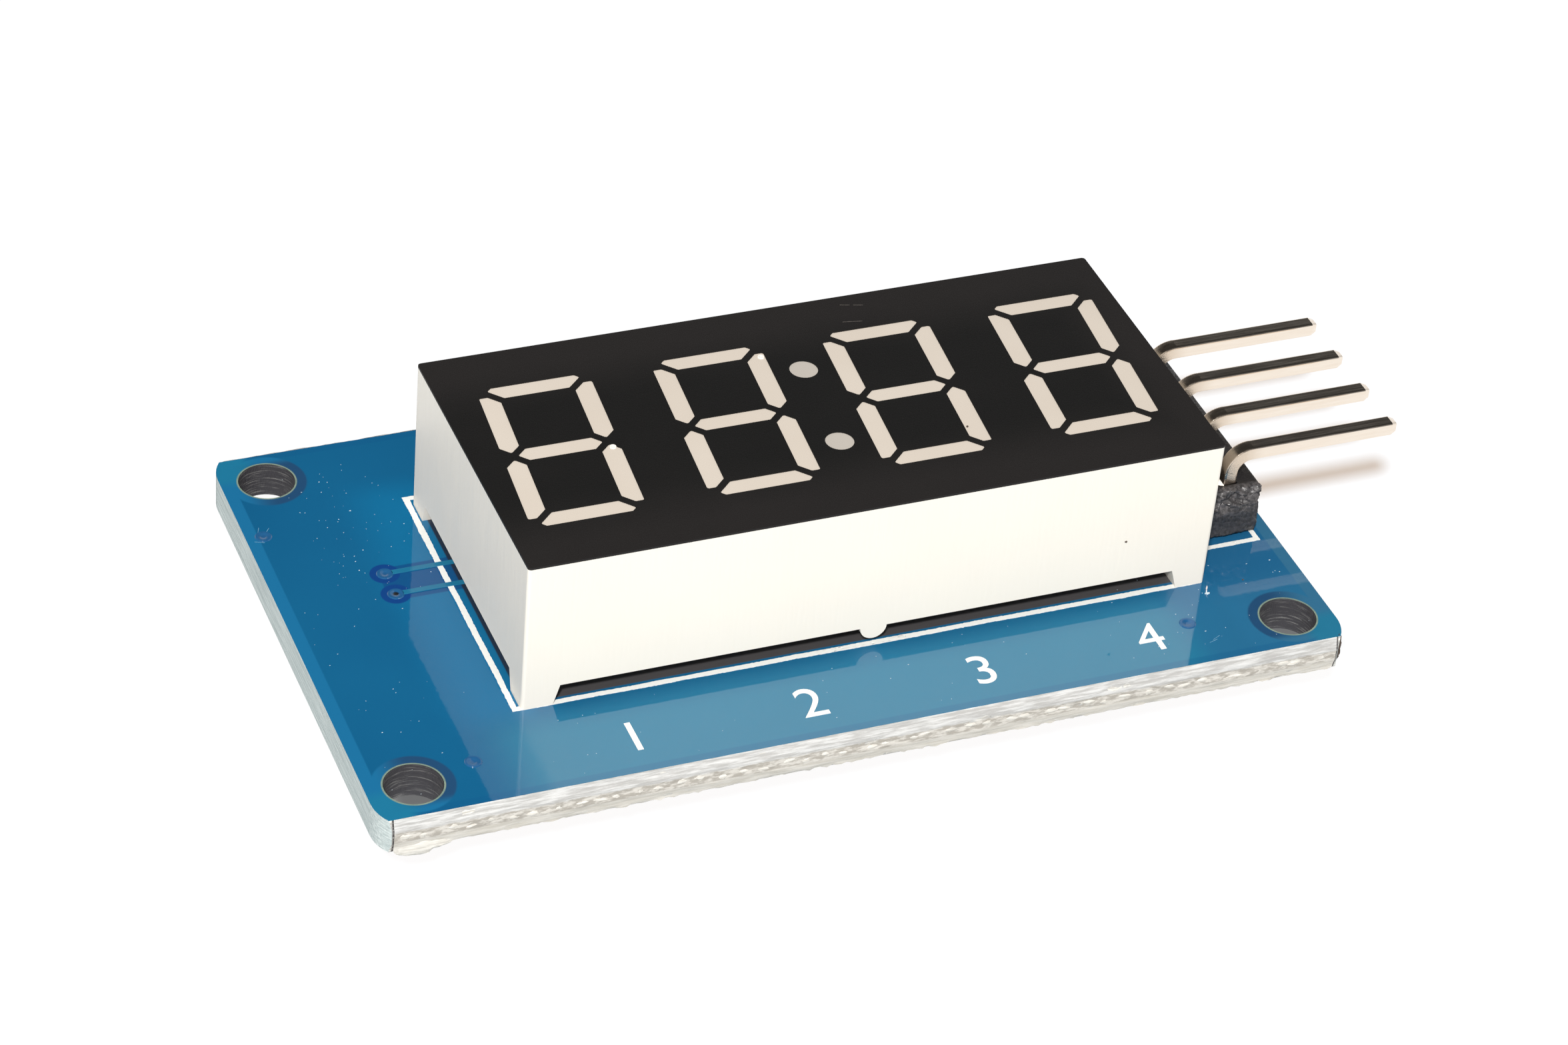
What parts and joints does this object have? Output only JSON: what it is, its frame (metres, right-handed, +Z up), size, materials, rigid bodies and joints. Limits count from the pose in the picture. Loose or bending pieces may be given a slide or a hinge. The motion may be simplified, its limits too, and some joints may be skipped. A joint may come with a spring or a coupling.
{
  "type": "seven segment display module",
  "caption": "Clock-style seven-segment LED display soldered to a small blue driver board with corner mounting holes and a right-angle pin header.",
  "frame": {"origin": "centre of the rectangle of mounting holes, on the underside of the circuit board", "axes": "+X along the board to the header pins, +Y away from the reader of the digits, +Z up through the display's face"},
  "size_m": [0.0477, 0.0242, 0.0116],
  "materials": {
    "solder_mask": "glossy blue coating over glass-fibre board",
    "housing_white": "opaque white moulded plastic",
    "face_black": "flat black printed layer",
    "segment_resin": "milky cast resin",
    "dot_resin": "milky cast resin, a little greyer",
    "inner_board": "bare glass-fibre board",
    "led_die": "tiny metallised chips",
    "potting_resin": "poured resin, slightly wavy",
    "display_pin_metal": "tinned wire",
    "header_pin_metal": "bright tin plating, warm in tone",
    "solder": "satin solder",
    "header_plastic": "black moulded strip, rough where snapped",
    "chip_plastic": "black moulded epoxy",
    "lead_metal": "tinned leads",
    "capacitor_body": "tan ceramic with tinned ends",
    "resistor_body": "black glaze with tinned ends"
  },
  "bodies": {
    "root": {"circuit_board": "solder_mask", "display_housing": "housing_white", "display_face": "face_black", "digit_1_segment_a": "segment_resin", "digit_1_segment_b": "segment_resin", "digit_1_segment_c": "segment_resin", "digit_1_segment_d": "segment_resin", "digit_1_segment_e": "segment_resin", "digit_1_segment_f": "segment_resin", "digit_1_segment_g": "segment_resin", "digit_2_segment_a": "segment_resin", "digit_2_segment_b": "segment_resin", "digit_2_segment_c": "segment_resin", "digit_2_segment_d": "segment_resin", "digit_2_segment_e": "segment_resin", "digit_2_segment_f": "segment_resin", "digit_2_segment_g": "segment_resin", "digit_3_segment_a": "segment_resin", "digit_3_segment_b": "segment_resin", "digit_3_segment_c": "segment_resin", "digit_3_segment_d": "segment_resin", "digit_3_segment_e": "segment_resin", "digit_3_segment_f": "segment_resin", "digit_3_segment_g": "segment_resin", "digit_4_segment_a": "segment_resin", "digit_4_segment_b": "segment_resin", "digit_4_segment_c": "segment_resin", "digit_4_segment_d": "segment_resin", "digit_4_segment_e": "segment_resin", "digit_4_segment_f": "segment_resin", "digit_4_segment_g": "segment_resin", "colon_dot_upper": "dot_resin", "colon_dot_lower": "dot_resin", "display_substrate": "inner_board", "led_dies": "led_die", "back_potting": "potting_resin", "display_pins_front": "display_pin_metal", "display_pins_back": "display_pin_metal", "display_solder": "solder", "header_body": "header_plastic", "header_pin_1": "header_pin_metal", "header_pin_2": "header_pin_metal", "header_pin_3": "header_pin_metal", "header_pin_4": "header_pin_metal", "header_solder": "solder", "driver_chip": "chip_plastic", "chip_leads": "lead_metal", "chip_solder": "solder", "capacitor_1": "capacitor_body", "capacitor_2": "capacitor_body", "capacitor_3": "capacitor_body", "capacitor_4": "capacitor_body", "resistor_1": "resistor_body", "resistor_2": "resistor_body", "passive_solder": "solder"}
  },
  "joints": []
}
